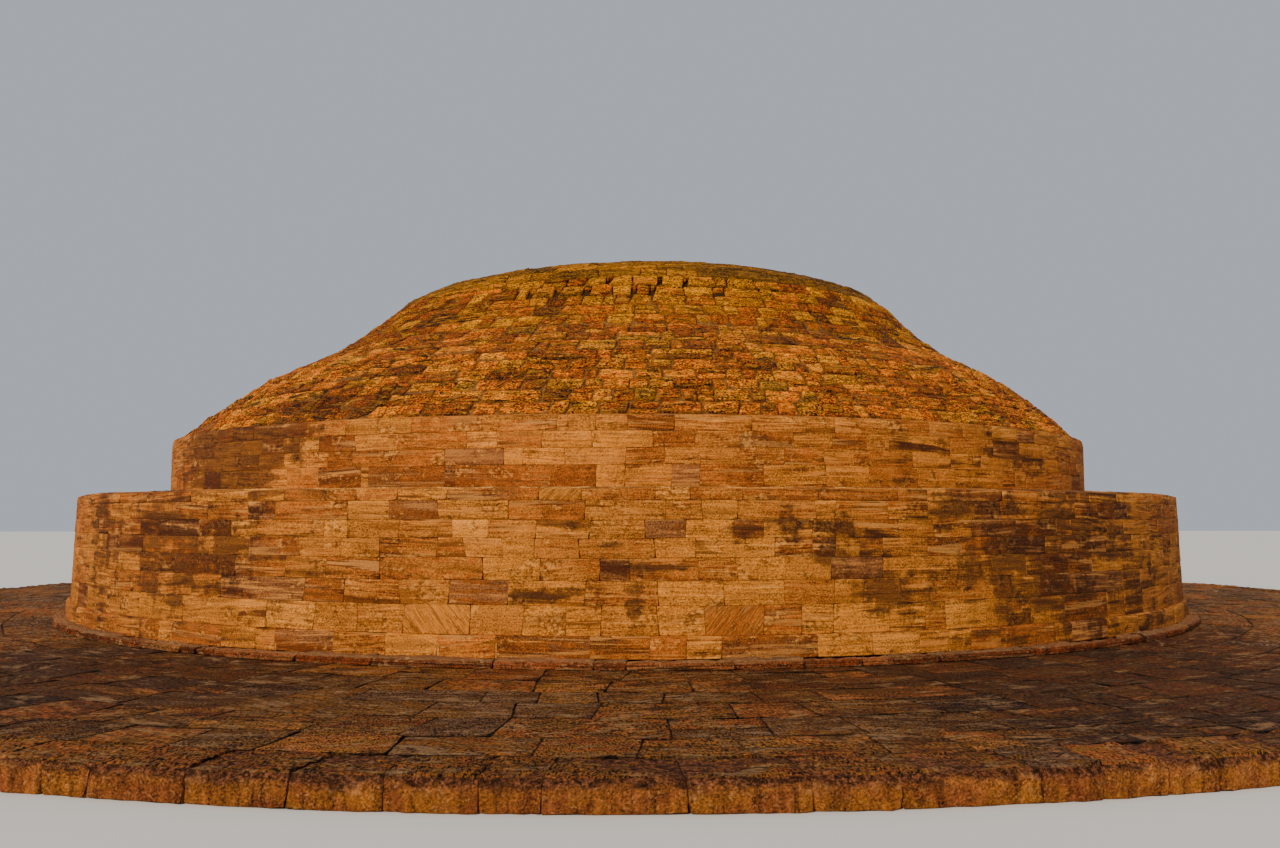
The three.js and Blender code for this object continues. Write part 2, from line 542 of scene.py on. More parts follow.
    def lay_wall(self, shares, length, rows):
        """Courses of blocks from the foot of the outline to its head."""
        edges = levels_between(0.0, self.outline.length, shares)
        for low, high in zip(edges[:-1], edges[1:]):
            self.lay_course(low, high, length, BLOCK_CUT, rows=rows)

    def lay_rings(self, ring, length, cut, low=0.0, slant=RING_SLANT, split=0.0):
        """Rings of slabs of about equal depth from a distance on the outline to its end."""
        count = max(1, round((self.outline.length - low) / ring))
        edges = np.linspace(low, self.outline.length, count + 1)
        edges[1:-1] += self.rng.uniform(-RING_SHIFT, RING_SHIFT, count - 1) * ring
        for near, far in zip(edges[:-1], edges[1:]):
            cells = self.course(near, far, length, slant=slant)
            self.lay(cells.split(self.rng, split, self.palette), cut)

    def stained(self, angle, along, radius):
        """Depth of the dark patches, lichen marks and painted shadows of trees: each falls off as a
        bell curve of its half sizes.
        """
        total = np.zeros_like(angle)
        for column_at, row, half_width, half_height, depth in self.stains:
            middle = seen(column_at, row, self.outline)
            across = (angle - middle.angle) * radius / (half_width * middle.pixel)
            up = (along - middle.along) / (half_height * middle.pixel)
            total += depth * np.exp(-(across ** 2 + up ** 2))
        return total

    def _keep(self, placed, quads, ring):
        """Adds the corners of the stones, their faces and their backs."""
        number, corners = placed.shape[:2]
        offsets = self.count + np.arange(number)[:, None, None] * corners
        self.points.append(placed.reshape(-1, 3))
        self.faces += [(quads + offsets).reshape(-1, 4), ring + offsets[:, 0]]
        self.count += number * corners

    def make(self, name, finish, slot, *nodes):
        """Makes the mesh, which stands for the given solids."""
        mesh = mesh_of(name, np.concatenate(self.points), self.faces)
        for key, parts in self.values.items():
            set_values(mesh, key, np.concatenate(parts))
        add_piece(name, mesh, finish, slot, *nodes)


def mesh_of(name, points, groups):
    """Mesh from corner points and groups of faces. Faces of up to four corners are smooth."""
    sides = np.concatenate([np.full(len(faces), faces.shape[1]) for faces in groups])
    mesh = bpy.data.meshes.new(name)
    mesh.vertices.add(len(points))
    mesh.vertices.foreach_set("co", np.asarray(points, np.float32).ravel())
    loops = np.concatenate([faces.ravel() for faces in groups])
    mesh.loops.add(len(loops))
    mesh.loops.foreach_set("vertex_index", np.asarray(loops, np.int32))
    mesh.polygons.add(len(sides))
    mesh.polygons.foreach_set("loop_start", np.asarray(np.cumsum(sides) - sides, np.int32))
    mesh.polygons.foreach_set("use_smooth", sides <= 4)
    mesh.update(calc_edges=True)
    if mesh.validate():
        raise ValueError(f"{name} had faces that Blender had to correct")
    return mesh


def set_values(mesh, key, values):
    """Stores a number or a vector for each corner point, for the finish to read."""
    vector = values.ndim == 2
    kind, entry = ("FLOAT_VECTOR", "vector") if vector else ("FLOAT", "value")
    attribute = mesh.attributes.new(key, kind, "POINT")
    attribute.data.foreach_set(entry, np.asarray(values, np.float32).ravel())


def add_object(name, data):
    """Adds an object to the scene."""
    added = bpy.data.objects.new(name, data)
    bpy.context.scene.collection.objects.link(added)
    return added


def add_piece(name, mesh, finish, slot, *nodes):
    """Adds a finished mesh as a piece of the stupa that stands for the given solids."""
    mesh.materials.append(finish)
    piece = add_object(name, mesh)
    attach(piece, "root")
    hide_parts(*nodes)


def turned_mesh(name, rows, sides, lean=0.0, rough=0.0, rough_size=0.3, seed=0):
    """Closed solid of revolution: rows of (radius, height), from pole to pole, turned in sides.

    A row's point is its radius times the sine and minus the cosine of the angle. Its radius
    is moved by smooth noise, except at the poles.
    """
    rows = np.array(rows, float)
    angle = np.arange(sides) / sides * TURN
    radius, height = rows[1:-1, 0][:, None], rows[1:-1, 1][:, None] + 0 * angle
    points = np.stack([radius * np.sin(angle), -radius * np.cos(angle), height], -1)
    noise = rough * waves(points, rough_size, seed)
    outward = points * [1, 1, 0] / np.maximum(radius[..., None], 1e-6)
    points = points + noise[..., None] * outward
    points[..., 0] += lean * np.maximum(height - DOME_FOOT, 0)
    lean_top = lean * max(rows[-1, 1] - DOME_FOOT, 0)
    poles = np.array([[0, 0, rows[0, 1]], [lean_top, 0, rows[-1, 1]]])
    count = len(rows) - 2
    index = np.arange(count * sides).reshape(count, sides)
    after = np.roll(index, -1, axis=1)
    quads = np.stack([index[:-1], after[:-1], after[1:], index[1:]], -1).reshape(-1, 4)
    first, last = count * sides, count * sides + 1
    foot = np.stack([np.full(sides, first), after[0], index[0]], -1)
    head = np.stack([np.full(sides, last), index[-1], after[-1]], -1)
    return mesh_of(name, np.concatenate([points.reshape(-1, 3), poles]), [quads, foot, head])


# Finishes

def linear(code):
    """Linear red, green and blue of a colour written as six hexadecimal digits."""
    parts = np.array([int(code[i:i + 2], 16) for i in (0, 2, 4)]) / 255
    curve = np.where(parts <= 0.04045, parts / 12.92, ((parts + 0.055) / 1.055) ** 2.4)
    return tuple(float(part) for part in curve)


class Value:
    """A socket in a finish. What is done with a value adds nodes to the finish."""

    # Brings the noise's usual swing of a tenth to one
    SPREAD = 10.0

    def __init__(self, finish, socket):
        self.finish = finish
        self.socket = socket

    def _math(self, operation, *parts):
        return self.finish.node("ShaderNodeMath", dict(enumerate(parts)), operation=operation)

    def __add__(self, other):
        return self._math("ADD", self, other)

    def __sub__(self, other):
        return self._math("SUBTRACT", self, other)

    def __rsub__(self, other):
        return self._math("SUBTRACT", other, self)

    def __mul__(self, other):
        return self._math("MULTIPLY", self, other)

    def __abs__(self):
        return self._math("ABSOLUTE", self)

    __radd__ = __add__
    __rmul__ = __mul__

    def stretched(self, scale):
        """The vector with each part multiplied by its own scale."""
        return self.finish.node("ShaderNodeVectorMath", {0: self, 1: scale}, operation="MULTIPLY")

    def brighter(self, factor):
        """The colour times a factor."""
        parts = {0: factor, 1: factor, 2: factor}
        return self.stretched(self.finish.node("ShaderNodeCombineXYZ", parts))

    def under(self, *layers):
        """The colour under layers from the lowest to the highest, each a share and its colour."""
        color = self
        for share, other in layers:
            color = self.finish.mix(share, color, other)
        return color

    def noise(self, scale, detail=4.0, rough=0.55, bend=0.0):
        """Noise from 0 to 1 of about one swing a unit, at one scale or one for each axis."""
        vector = self
        if isinstance(scale, tuple):
            vector, scale = self.stretched(scale), 1.0
        inputs = {"Vector": vector, "Scale": scale, "Detail": detail, "Roughness": rough,
                  "Distortion": bend}
        return self.finish.node("ShaderNodeTexNoise", inputs)

    def swing(self, scale, detail=4.0, rough=0.6, bend=0.0):
        """Noise spread to about -1 to 1, with 0 as its middle."""
        return (self.noise(scale, detail, rough, bend) - 0.5) * self.SPREAD

    def rise(self, low, high):
        """0 below low and 1 above high, with a smooth step between; low may be above high."""
        inputs = {"Value": self, "From Min": min(low, high), "From Max": max(low, high),
                  "To Min": float(low > high), "To Max": float(low < high)}
        return self.finish.node("ShaderNodeMapRange", inputs, interpolation_type="SMOOTHSTEP")

    def ramp(self, codes):
        """Colour at the value's place between evenly spaced colours, from 0 to 1."""
        color = self.finish.node("ShaderNodeValToRGB", {0: self})
        elements = color.socket.node.color_ramp.elements
        while len(elements) < len(codes):
            elements.new(1.0)
        for index, (element, code) in enumerate(zip(elements, codes)):
            element.position = index / (len(codes) - 1)
            element.color = (*linear(code), 1.0)
        return color


class Finish:
    """One material, made from nodes."""

    def __init__(self, name):
        self.material = bpy.data.materials.new(name)
        self.material.use_nodes = True
        self.tree = self.material.node_tree
        self.tree.nodes.clear()

    def node(self, kind, inputs, output=0, **settings):
        """Adds a node, sets its settings first and then its sockets, and returns one output."""
        node = self.tree.nodes.new(kind)
        for key, value in settings.items():
            setattr(node, key, value)
        for key, value in inputs.items():
            if isinstance(value, Value):
                self.tree.links.new(value.socket, node.inputs[key])
            else:
                node.inputs[key].default_value = value
        return Value(self, node.outputs[output]) if node.outputs else None

    def attribute(self, name, output="Fac"):
        """A value stored on the mesh."""
        return self.node("ShaderNodeAttribute", {}, output, attribute_name=name,
                         attribute_type="GEOMETRY")

    def place(self):
        """Place in the frame."""
        return self.node("ShaderNodeTexCoord", {}, "Object")

    def height(self):
        """Height above the ground."""
        return self.node("ShaderNodeSeparateXYZ", {0: self.place()}, 2)

    def mix(self, share, first, second, kind="MIX"):
        """Two colours mixed by a share, each a value or written as hexadecimal digits."""
        colors = [c if isinstance(c, Value) else (*linear(c), 1.0) for c in (first, second)]
        inputs = {0: share, 6: colors[0], 7: colors[1]}
        return self.node("ShaderNodeMix", inputs, 2, data_type="RGBA", blend_type=kind)

    def finished(self, color, rough, height, distance):
        """Sets the surface's colour, roughness and relief, and returns the material."""
        normal = self.node("ShaderNodeBump", {"Height": height, "Distance": distance})
        surface = {"Base Color": color, "Roughness": rough, "Normal": normal,
                   "Specular IOR Level": 0.12}
        shader = self.node("ShaderNodeBsdfPrincipled", surface)
        self.node("ShaderNodeOutputMaterial", {"Surface": shader})
        return self.material


@dataclass(frozen=True)
class Look:
    """Colours and strengths of one kind of stone's finish."""

    palette: Palette
    dark: str
    pale: str
    joint_dark: str = "3A2412"
    joint_pale: str = "A87A48"
    bedding: tuple = (1.0, 12.0, 6.0)
    grit_scale: tuple = (80.0, 80.0, 80.0)
    mottle_scale: float = 9.0
    banding: float = 0.16
    drift: float = 0.07
    laminae: float = 0.2
    mottle: float = 0.1
    grit: float = 0.32
    shade: float = 0.05
    dark_beds: float = 0.7
    pale_beds: float = 0.3
    flakes: float = 0.5
    specks: float = 0.6
    patchy: float = 1.0
    lines: float = 0.55
    veins: float = 0.5
    vein: str = "3A2412"
    # Strength of a painted highlight along the stones' tops and painted shade along their feet
    lit: float = 0.0
    # Tint, strength and onset of the darkening for soiling, which also paints the shadows of trees
    dirt: str = "86807B"
    grime: float = 0.85
    grime_from: float = 0.65
    joint: float = 0.4
    broken: float = 1.0
    joint_width: float = 0.004
    joint_wobble: float = 0.001
    relief: float = 0.005


class Texture:
    """Noises that a stone's finish is made from."""

    def __init__(self, finish, look):
        place, grain = finish.place(), finish.attribute("grain", "Vector")
        self.bedded = finish.attribute("bedded")
        beds = grain.stretched(look.bedding)
        self.beds = beds.swing(1.0, 3.0, 0.52, 0.5)
        self.laminae = beds.swing((2.0, 4.0, 3.0), 4.0, 0.62, 0.3)
        self.lines = beds.swing((0.8, 1.7, 1.0), 2.0, 0.5, 0.2)
        self.vein = beds.swing(1.7, 5.0, 0.6, 1.2)
        self.mottle = grain.swing(look.mottle_scale, 7.0, 0.75, 0.3)
        self.specks = grain.swing(look.mottle_scale * 2.7, 5.0, 0.72, 0.2)
        self.zones = grain.swing(4.0, 5.0, 0.6, 0.5)
        self.grit = grain.swing(look.grit_scale, 2.0)
        self.clouds = place.swing(0.7, 7.0, 0.62, 0.4)
        self.runs = place.swing((3.0, 3.0, 0.5), 7.0, 0.7)


def stone_color(finish, look, noise):
    """Colour of a stone: its place on the palette drifts along its beds, with flakes and specks."""
    bedded = noise.bedded
    drift = noise.beds * bedded * look.banding + noise.mottle * look.drift
    drift = drift + noise.clouds * 0.06
    light = 1.0 + noise.laminae * bedded * look.laminae
    light = light + noise.mottle * (1.6 - bedded) * look.mottle + noise.grit * look.grit
    light = light + finish.attribute("shade") * look.shade + noise.clouds * 0.08
    color = (finish.attribute("tone") + drift).ramp(look.palette.codes).brighter(light)
    dark = (noise.beds + noise.laminae * 0.5).rise(0.5, 1.4) * bedded * look.dark_beds
    pale = (noise.laminae * 0.6 - noise.beds).rise(0.6, 1.5) * bedded * look.pale_beds
    lines = abs(noise.lines).rise(0.24, 0.0) * noise.zones.rise(-0.8, 0.8) * bedded * look.lines
    patches = noise.zones * look.patchy - look.patchy * 0.7
    flakes = (noise.specks + noise.laminae * 0.5 + patches).rise(0.6, 1.4) * look.flakes
    specks = (noise.mottle * 0.6 - noise.specks + patches).rise(0.6, 1.4) * look.specks
    return color.under((dark, look.dark), (pale, look.pale), (lines, look.dark),
                       (flakes, look.pale), (specks, look.dark))


def stone_finish(name, look, worn=None):
    """Laid stone: its own colour, streaks along its beds, veins, soiling and painted tree shadows,
    painted highlights on tops and shade at feet, and broken joints.
    """
    finish = Finish(name)
    noise = Texture(finish, look)
    color = stone_color(finish, look, noise)
    crack = abs(noise.vein).rise(0.12, 0.0) * noise.zones.rise(0.0, 0.8)
    color = finish.mix(crack * look.veins, color, look.vein)
    # Painted highlight along the tops of the stones and painted shade along their feet
    if look.lit:
        lift = finish.attribute("lift")
        lit = lift.rise(0.4, 0.95) * (noise.zones + noise.laminae).rise(-0.6, 1.0)
        color = color.brighter(1.0 + (lit - lift.rise(-0.4, -0.95)) * look.lit)

    # Darkening for soiling; through the patches it also paints shadows of trees, and its mauve tint
    # is that of shade
    dirt = noise.clouds * 0.35 + noise.runs * 0.3 + noise.mottle * 0.25 + noise.beds * 0.3
    uneven = noise.zones * 0.35 + noise.beds * 0.4 + noise.runs * 0.25 + noise.mottle * 0.35
    dirt = dirt + finish.attribute("stain") * (uneven + 2.0)
    dirt = dirt.rise(look.grime_from, look.grime_from + 1.2) * look.grime
    soiled_and_shaded = finish.mix(1.0, color, look.dirt, "MULTIPLY")
    color = finish.mix(dirt, color, finish.mix(0.08, soiled_and_shaded, "5C4440"))
    if worn:
        color = worn(finish, color, noise)

    place = finish.place()
    closed = place.swing(3.5, 5.0, 0.65).rise(1.1, -0.5)
    mortar = finish.mix(place.swing(1.7).rise(0.0, 0.6), look.joint_dark, look.joint_pale)
    reach = noise.mottle * look.joint_wobble + finish.attribute("edge")
    joint = reach.rise(look.joint_width, look.joint_width * 0.3)
    color = finish.mix(joint * (1.0 - closed * look.broken) * look.joint, color, mortar)
    height = noise.beds * 0.2 + noise.laminae * 0.12 + noise.mottle * 0.25 + noise.specks * 0.15
    height = height + noise.zones * 0.2 - crack * 0.3
    return finish.finished(color, 0.86 + noise.grit * 0.03, height, look.relief)


def shared_finish(name, look):
    """Laid stone's finish that several pieces have in common, made for the first of them."""
    return bpy.data.materials.get(name) or stone_finish(name, look)


def earthy_face(finish, color, noise):
    """Kerb: splashed earth on the face, a dark broken crust at the edge and a flagged tread."""
    level = finish.height() + noise.zones * 0.008
    streaks = finish.place().swing((22.0, 22.0, 4.0))
    waste = finish.place().swing(5.0)
    earth = finish.mix(noise.zones.rise(-1.0, 1.0), "904C24", "AA6626")
    earth = earth.brighter(1.0 + streaks * 0.3 + noise.grit * 0.28)
    grains = (noise.specks + noise.grit * 0.4).rise(0.8, 1.3) * 0.45
    earth = finish.mix(grains, earth, "DC9C58")
    crust = finish.mix(noise.specks.rise(-0.8, 1.2), "26120A", "96583A")
    crust = crust.brighter(1.0 + noise.grit * 0.4)
    depth = (level + streaks * 0.004 + waste * 0.016).rise(0.112, 0.146)
    top = finish.height().rise(TERRACE_TOP - 0.008, TERRACE_TOP - 0.002)
    tread = stone_color(finish, FLAG, Texture(finish, FLAG))
    color = color.brighter(1.0 + streaks * 0.22)
    return color.under((level.rise(0.15, 0.06) * 0.85, earth), (depth * 0.85, crust), (top, tread))


def limy_foot(finish, color, noise):
    """Footing: broken pale mortar along its foot and its head, and a reddish crust."""
    level = finish.height() + noise.specks * 0.005
    top = TERRACE_TOP + FOOTING_HEIGHT
    foot = level.rise(TERRACE_TOP + 0.016, TERRACE_TOP + 0.006)
    head = level.rise(top - 0.014, top - 0.004)
    lime = foot * (noise.zones + noise.mottle).rise(0.1, 1.0) + head * 0.5
    seam = abs(level - TERRACE_TOP - 0.034).rise(0.005, 0.002)
    return color.under((seam * 0.7, "2E170B"), (lime * 0.75, "BC9060"))


def fill_finish(name, code, dark, deep=None):
    """Earthy mortar between stones, with painted shade above a given level, where the joints sit
    far back.
    """
    finish = Finish(name)
    place = finish.place()
    lumps, clouds = place.swing(26.0, 6.0, 0.68), place.swing(1.7, 5.0, 0.62)
    color = finish.mix(lumps.rise(-1.2, 1.2), dark, code).brighter(1.0 + clouds * 0.12)
    # Painted shade in the joints above that level, a darker copy of the mortar
    if deep:
        shadow = (finish.height() + clouds * 0.04).rise(deep - 0.1, deep + 0.1)
        color = finish.mix(shadow, color, color.brighter(0.22))
    return finish.finished(color, 0.92 + lumps * 0.01, lumps, 0.004)


def floor_finish():
    """Plain pale studio floor."""
    finish = Finish("studio_floor")
    clouds = finish.place().noise(0.4, 2.0)
    color = finish.mix(clouds, "D9D6D0", "DEDBD6")
    return finish.finished(color, 0.9 + clouds * 0.05, clouds, 0.0005)


# Settings

def mean_length(name, description, default, least=0.2):
    """A setting for the mean length of a kind of stone."""
    return FloatProperty(
        name=name, description=description, default=default, min=least, unit="LENGTH")


class StupaSizes(bpy.types.PropertyGroup):
    """Sizes of the stones, in metres."""

    drum_block: mean_length("Drum block length", "Mean length of a block in the drums", 0.48)
    rubble: mean_length("Dome stone length", "Mean length of a stone in the dome", 0.29, 0.1)
    kerb_stone: mean_length("Kerb stone length", "Mean length of a kerb stone", 0.48)
    flag_width: mean_length("Flagstone width", "Mean width of a flagstone in its ring", 0.62)
    flag_ring: mean_length("Flagstone ring", "Mean depth of one ring of flagstones", 0.5)


class StupaLight(bpy.types.PropertyGroup):
    """Studio light."""

    key_strength: FloatProperty(
        name="Key light", description="Strength of the soft key light", default=3.85, min=0.0)
    key_color: FloatVectorProperty(
        name="Key colour", description="Colour of the key light", subtype="COLOR",
        default=(1.0, 0.89, 0.72), min=0.0, max=1.0)
    fill_strength: FloatProperty(
        name="Fill light", description="Strength of the even light all round", default=0.55,
        min=0.0)


def sizes():
    """The sizes set in the scene."""
    return bpy.context.scene.stupa_sizes


# Kinds of stone

ASHLAR = Look(
    Palette(
        plum=("86522A", 0.04), umber=("84481A", 0.07), russet=("A4581C", 0.21),
        brown=("AE6A28", 0.36), tan=("B66F28", 0.26), gold=("BE7426", 0.06),
        cream=("C67E32", 0.0),
    ),
    # The pale joint colour is pale mortar, brightened as a painted highlight along the joints
    dark="56260C", pale="E8A04C", joint_pale="C88848", lines=0.8, banding=0.2,
    laminae=0.25, shade=0.07,
)
LEDGE_PALETTE = ASHLAR.palette.shared(russet=0.2, brown=0.35, tan=0.35, gold=0.1)
RUBBLE = Look(
    Palette(
        umber=("804818", 0.15), rust=("C0580E", 0.28), orange=("F0800A", 0.3),
        clay=("D6842A", 0.16), mustard=("F0940A", 0.07), olive=("9A681E", 0.04),
    ),
    dark="2A1608", pale="FFAA30", joint_dark="3E2410", joint_pale="8A5826",
    bedding=(3.0, 16.0, 12.0), grit_scale=(50.0, 80.0, 80.0), mottle_scale=12.0, banding=0.24,
    drift=0.12, laminae=0.45, mottle=0.42, grit=0.78, patchy=0.5, flakes=0.7, joint=0.6,
    # Painted highlight on the stones' tops and painted shade at their feet, at strength 0.45
    joint_width=0.009, joint_wobble=0.004, relief=0.022, shade=0.2, lit=0.45, lines=0.6,
)
HIGH_RUBBLE = replace(
    RUBBLE,
    palette=Palette(
        umber=("6E3C0E", 0.18), rust=("A44A06", 0.22), orange=("CC6604", 0.25),
        ochre=("BE760C", 0.2), mustard=("D68602", 0.15),
    ),
    pale="FFB030", joint_pale="8A581E",
)
RIM = Look(
    Palette(
        umber=("704812", 0.3), ochre=("8A5810", 0.3), mustard=("A2640A", 0.25),
        gold=("B4700E", 0.15),
    ),
    dark="241704", pale="E69A28", joint_dark="1E1407", joint_pale="503A20",
    bedding=(1.2, 18.0, 8.0), grit_scale=(40.0, 90.0, 80.0), mottle=0.3, laminae=0.5, grit=0.6,
    patchy=0.3, joint_width=0.008, joint_wobble=0.003, joint=0.6, flakes=0.6, specks=0.7,
    # Painted highlight on the slabs' tops and painted shade at their feet, at strength 0.3
    relief=0.02, grime=0.8, grime_from=0.35, shade=0.12, lit=0.3,
)
FLAG = Look(
    Palette(
        slate=("6C4830", 0.17), umber=("744A20", 0.24), brown=("885420", 0.32),
        russet=("985024", 0.14), tan=("966024", 0.13),
    ),
    dark="20140A", pale="C89A66", joint_dark="0C0603", joint_pale="2A1A0E",
    bedding=(3.0, 7.0, 7.0), grit_scale=(80.0, 34.0, 60.0), mottle_scale=12.0, banding=0.24,
    drift=0.1, laminae=0.24, mottle=0.26, grit=0.75, patchy=0.8, flakes=0.6, specks=0.3,
    joint=1.0, joint_width=0.010, joint_wobble=0.003, relief=0.02, grime=0.8, grime_from=0.45,
    shade=0.16, vein="B8946A", veins=1.0, lines=0.35, dark_beds=0.3, dirt="8C7A68", broken=0.4,
)
KERB = Look(
    Palette(rust=("8E4E28", 0.3), earth=("A4622E", 0.4), orange=("B06A2E", 0.3)),
    dark="47291B", pale="E0A468", joint_dark="160B05", joint_pale="3A2212",
    bedding=(4.0, 5.0, 5.0), mottle=0.2, mottle_scale=12.0, grit=0.4, patchy=0.8, specks=0.4,
    relief=0.03, joint=0.9, joint_width=0.005, joint_wobble=0.004, grime=0.5, lines=0.2,
)
FOOTING = Look(
    Palette(
        umber=("6E3C20", 0.25), rust=("883C16", 0.45), clay=("94502A", 0.22),
        sand=("9C6230", 0.08),
    ),
    dark="3B2412", pale="C8945C", joint_dark="24160C", joint_pale="9A744E",
    bedding=(0.8, 30.0, 8.0), mottle=0.34, flakes=0.8, grit=0.5, patchy=0.7,
    relief=0.02, joint_width=0.007, joint_wobble=0.004, joint=0.8, banding=0.26, shade=0.16,
)
POINTING = Look(
    Palette(lime=("C0843E", 1.0), grey=("B27634", 1.0)), dark="7A4A20", pale="DCA460",
    joint=0.0,
)

BLOCK_CUT = Cut(panes=(9, 4), joint=0.0005, bevel=0.004, worn=0.0008, proud=0.001, tilt=0.001)
EDGE_CUT = Cut(panes=(9, 8), joint=0.0006, bevel=0.005, worn=0.001, proud=0.001, rough=0.003)
SLAB_CUT = Cut(panes=(7, 6), joint=0.003, bevel=0.012, worn=0.005, rough=0.004, rough_size=0.3,
               proud=0.004, tilt=0.003, warp=0.015, warp_size=1.2, bedding_turn=0.5)
RUBBLE_CUT = Cut(panes=(6, 4), joint=0.008, bevel=0.02, worn=0.006, rough=0.006,
                 rough_size=0.10, crown=0.004, proud=0.005, tilt=0.004, square=(5.0, 24.0),
                 step=0.007, warp=0.008, warp_size=0.7, bedding_turn=0.06, wedge=0.06)
RIM_CUT = Cut(panes=(10, 4), joint=0.003, bevel=0.014, worn=0.006, rough=0.007, rough_size=0.2,
              crown=0.002, proud=0.006, tilt=0.005, square=(10.0, 30.0), step=0.012, warp=0.01,
              warp_size=1.0, bedding_turn=0.05)
KERB_CUT = Cut(panes=(10, 12), joint=0.0012, bevel=0.006, worn=0.0025, rough=0.011,
               rough_size=0.12, crown=0.0, proud=0.004, tilt=0.003, square=(26.0, 60.0),
               depth=0.12, warp=0.0, bedding_turn=0.1)
FLAG_CUT = Cut(panes=(7, 5), joint=0.002, bevel=0.008, worn=0.003, rough=0.005, rough_size=0.4,
               crown=0.0, proud=0.0012, tilt=0.001, square=(20.0, 60.0), depth=0.05,
               warp=0.02, warp_size=1.5, bedding_turn=0.25)
STRIP_CUT = Cut(panes=(12, 7), joint=0.002, bevel=0.010, worn=0.004, rough=0.014,
                rough_size=0.10, crown=0.0, proud=0.006, tilt=0.006, square=(10.0, 30.0),
                depth=0.05, warp=0.0)

POINTING_CUT = Cut(panes=(14, 2), joint=0.0, bevel=0.003, worn=0.002, depth=0.03, rough=0.0012,
                   rough_size=0.05, proud=0.0, tilt=0.0, square=(3.0, 6.0), crown=0.0035,
                   warp=0.0)

# Courses, as shares of the wall's height from the top down
LOWER_COURSES = (0.166, 0.157, 0.166, 0.190, 0.207, 0.248)
UPPER_COURSES = (0.158, 0.158, 0.234)

# Rows of stones in each band of the dome, marks at the ends of the last band, how many bands are
# low ones, and shares of the stones that are divided there and higher up
BAND_ROWS = (2, 4, 3, 2, 3)
LAST_BAND = slice(4, 6)
LOW_BANDS = 3
LOW_SPLITS, HIGH_SPLITS = 0.4, 0.2

# Share of a course that a gap takes, and the scale of the grain on stones with turned beds
GAP_SHARE = 0.6
TOOLING = 2.6

# Depths, worn corners and treads of the stones at the edges, and laps under the next piece
KERB_TOP_DEPTH = 0.45
KERB_CORNER = 0.018
LOW_CORNER = 0.012
EDGE_CORNER = 0.04
FOOTING_STONE, FOOTING_TREAD = 0.5, 0.16
PAVING_LAP, BASE_LAP, LEDGE_LAP = 0.05, 0.03, 0.04
LEDGE_STONE_DEPTH = 0.42
UPPER_TREAD = 0.3

# Mortar and earth: recesses behind the stones, the level above the drums from which painted shade
# darkens the mortar, as the joints there sink far back, the radius where the outline closes, laps
# and numbers of sides and rows
WALL_RECESS = 0.010
DOME_RECESS = 0.010
RIM_RECESS = 0.04
EARTH_RECESS = 0.016
KERB_RECESS, UNDER_KERB, KERB_LAP = 0.1, 0.03, 0.02
MORTAR_SHADE_FROM = 1.55
CLOSING_RADIUS = 0.3
LOWER_LAP, UPPER_LAP = 0.1, 0.06
EARTH_SIDES, MORTAR_SIDES, MORTAR_ROWS = 180, 480, 90
MORTAR_ROUGH, MORTAR_ROUGH_SIZE, MORTAR_SEED = 0.002, 0.16, 7

# Depth of a ring and mean length of its slabs
LEDGE_SLABS = (0.65, 0.55)
RIM_SLABS = (0.17, 0.5)
CROWN_SLABS = (0.42, 0.5)

# Radius and height above the drums of the two turns in the rim's outline
RIM_TURNS = ((3.5, 2.07), (3.3, 2.15))
CROWN_STEPS, CROWN_REACH = 14, 0.98

# Studio: the sun's angles are degrees
FLOOR_REACH = 90.0
FLOOR_DROP = 0.002
SUN_TILT, SUN_TURN, SUN_SPREAD = 63, -32, 5
FILL_COLOR = (0.81, 0.88, 0.99, 1.0)

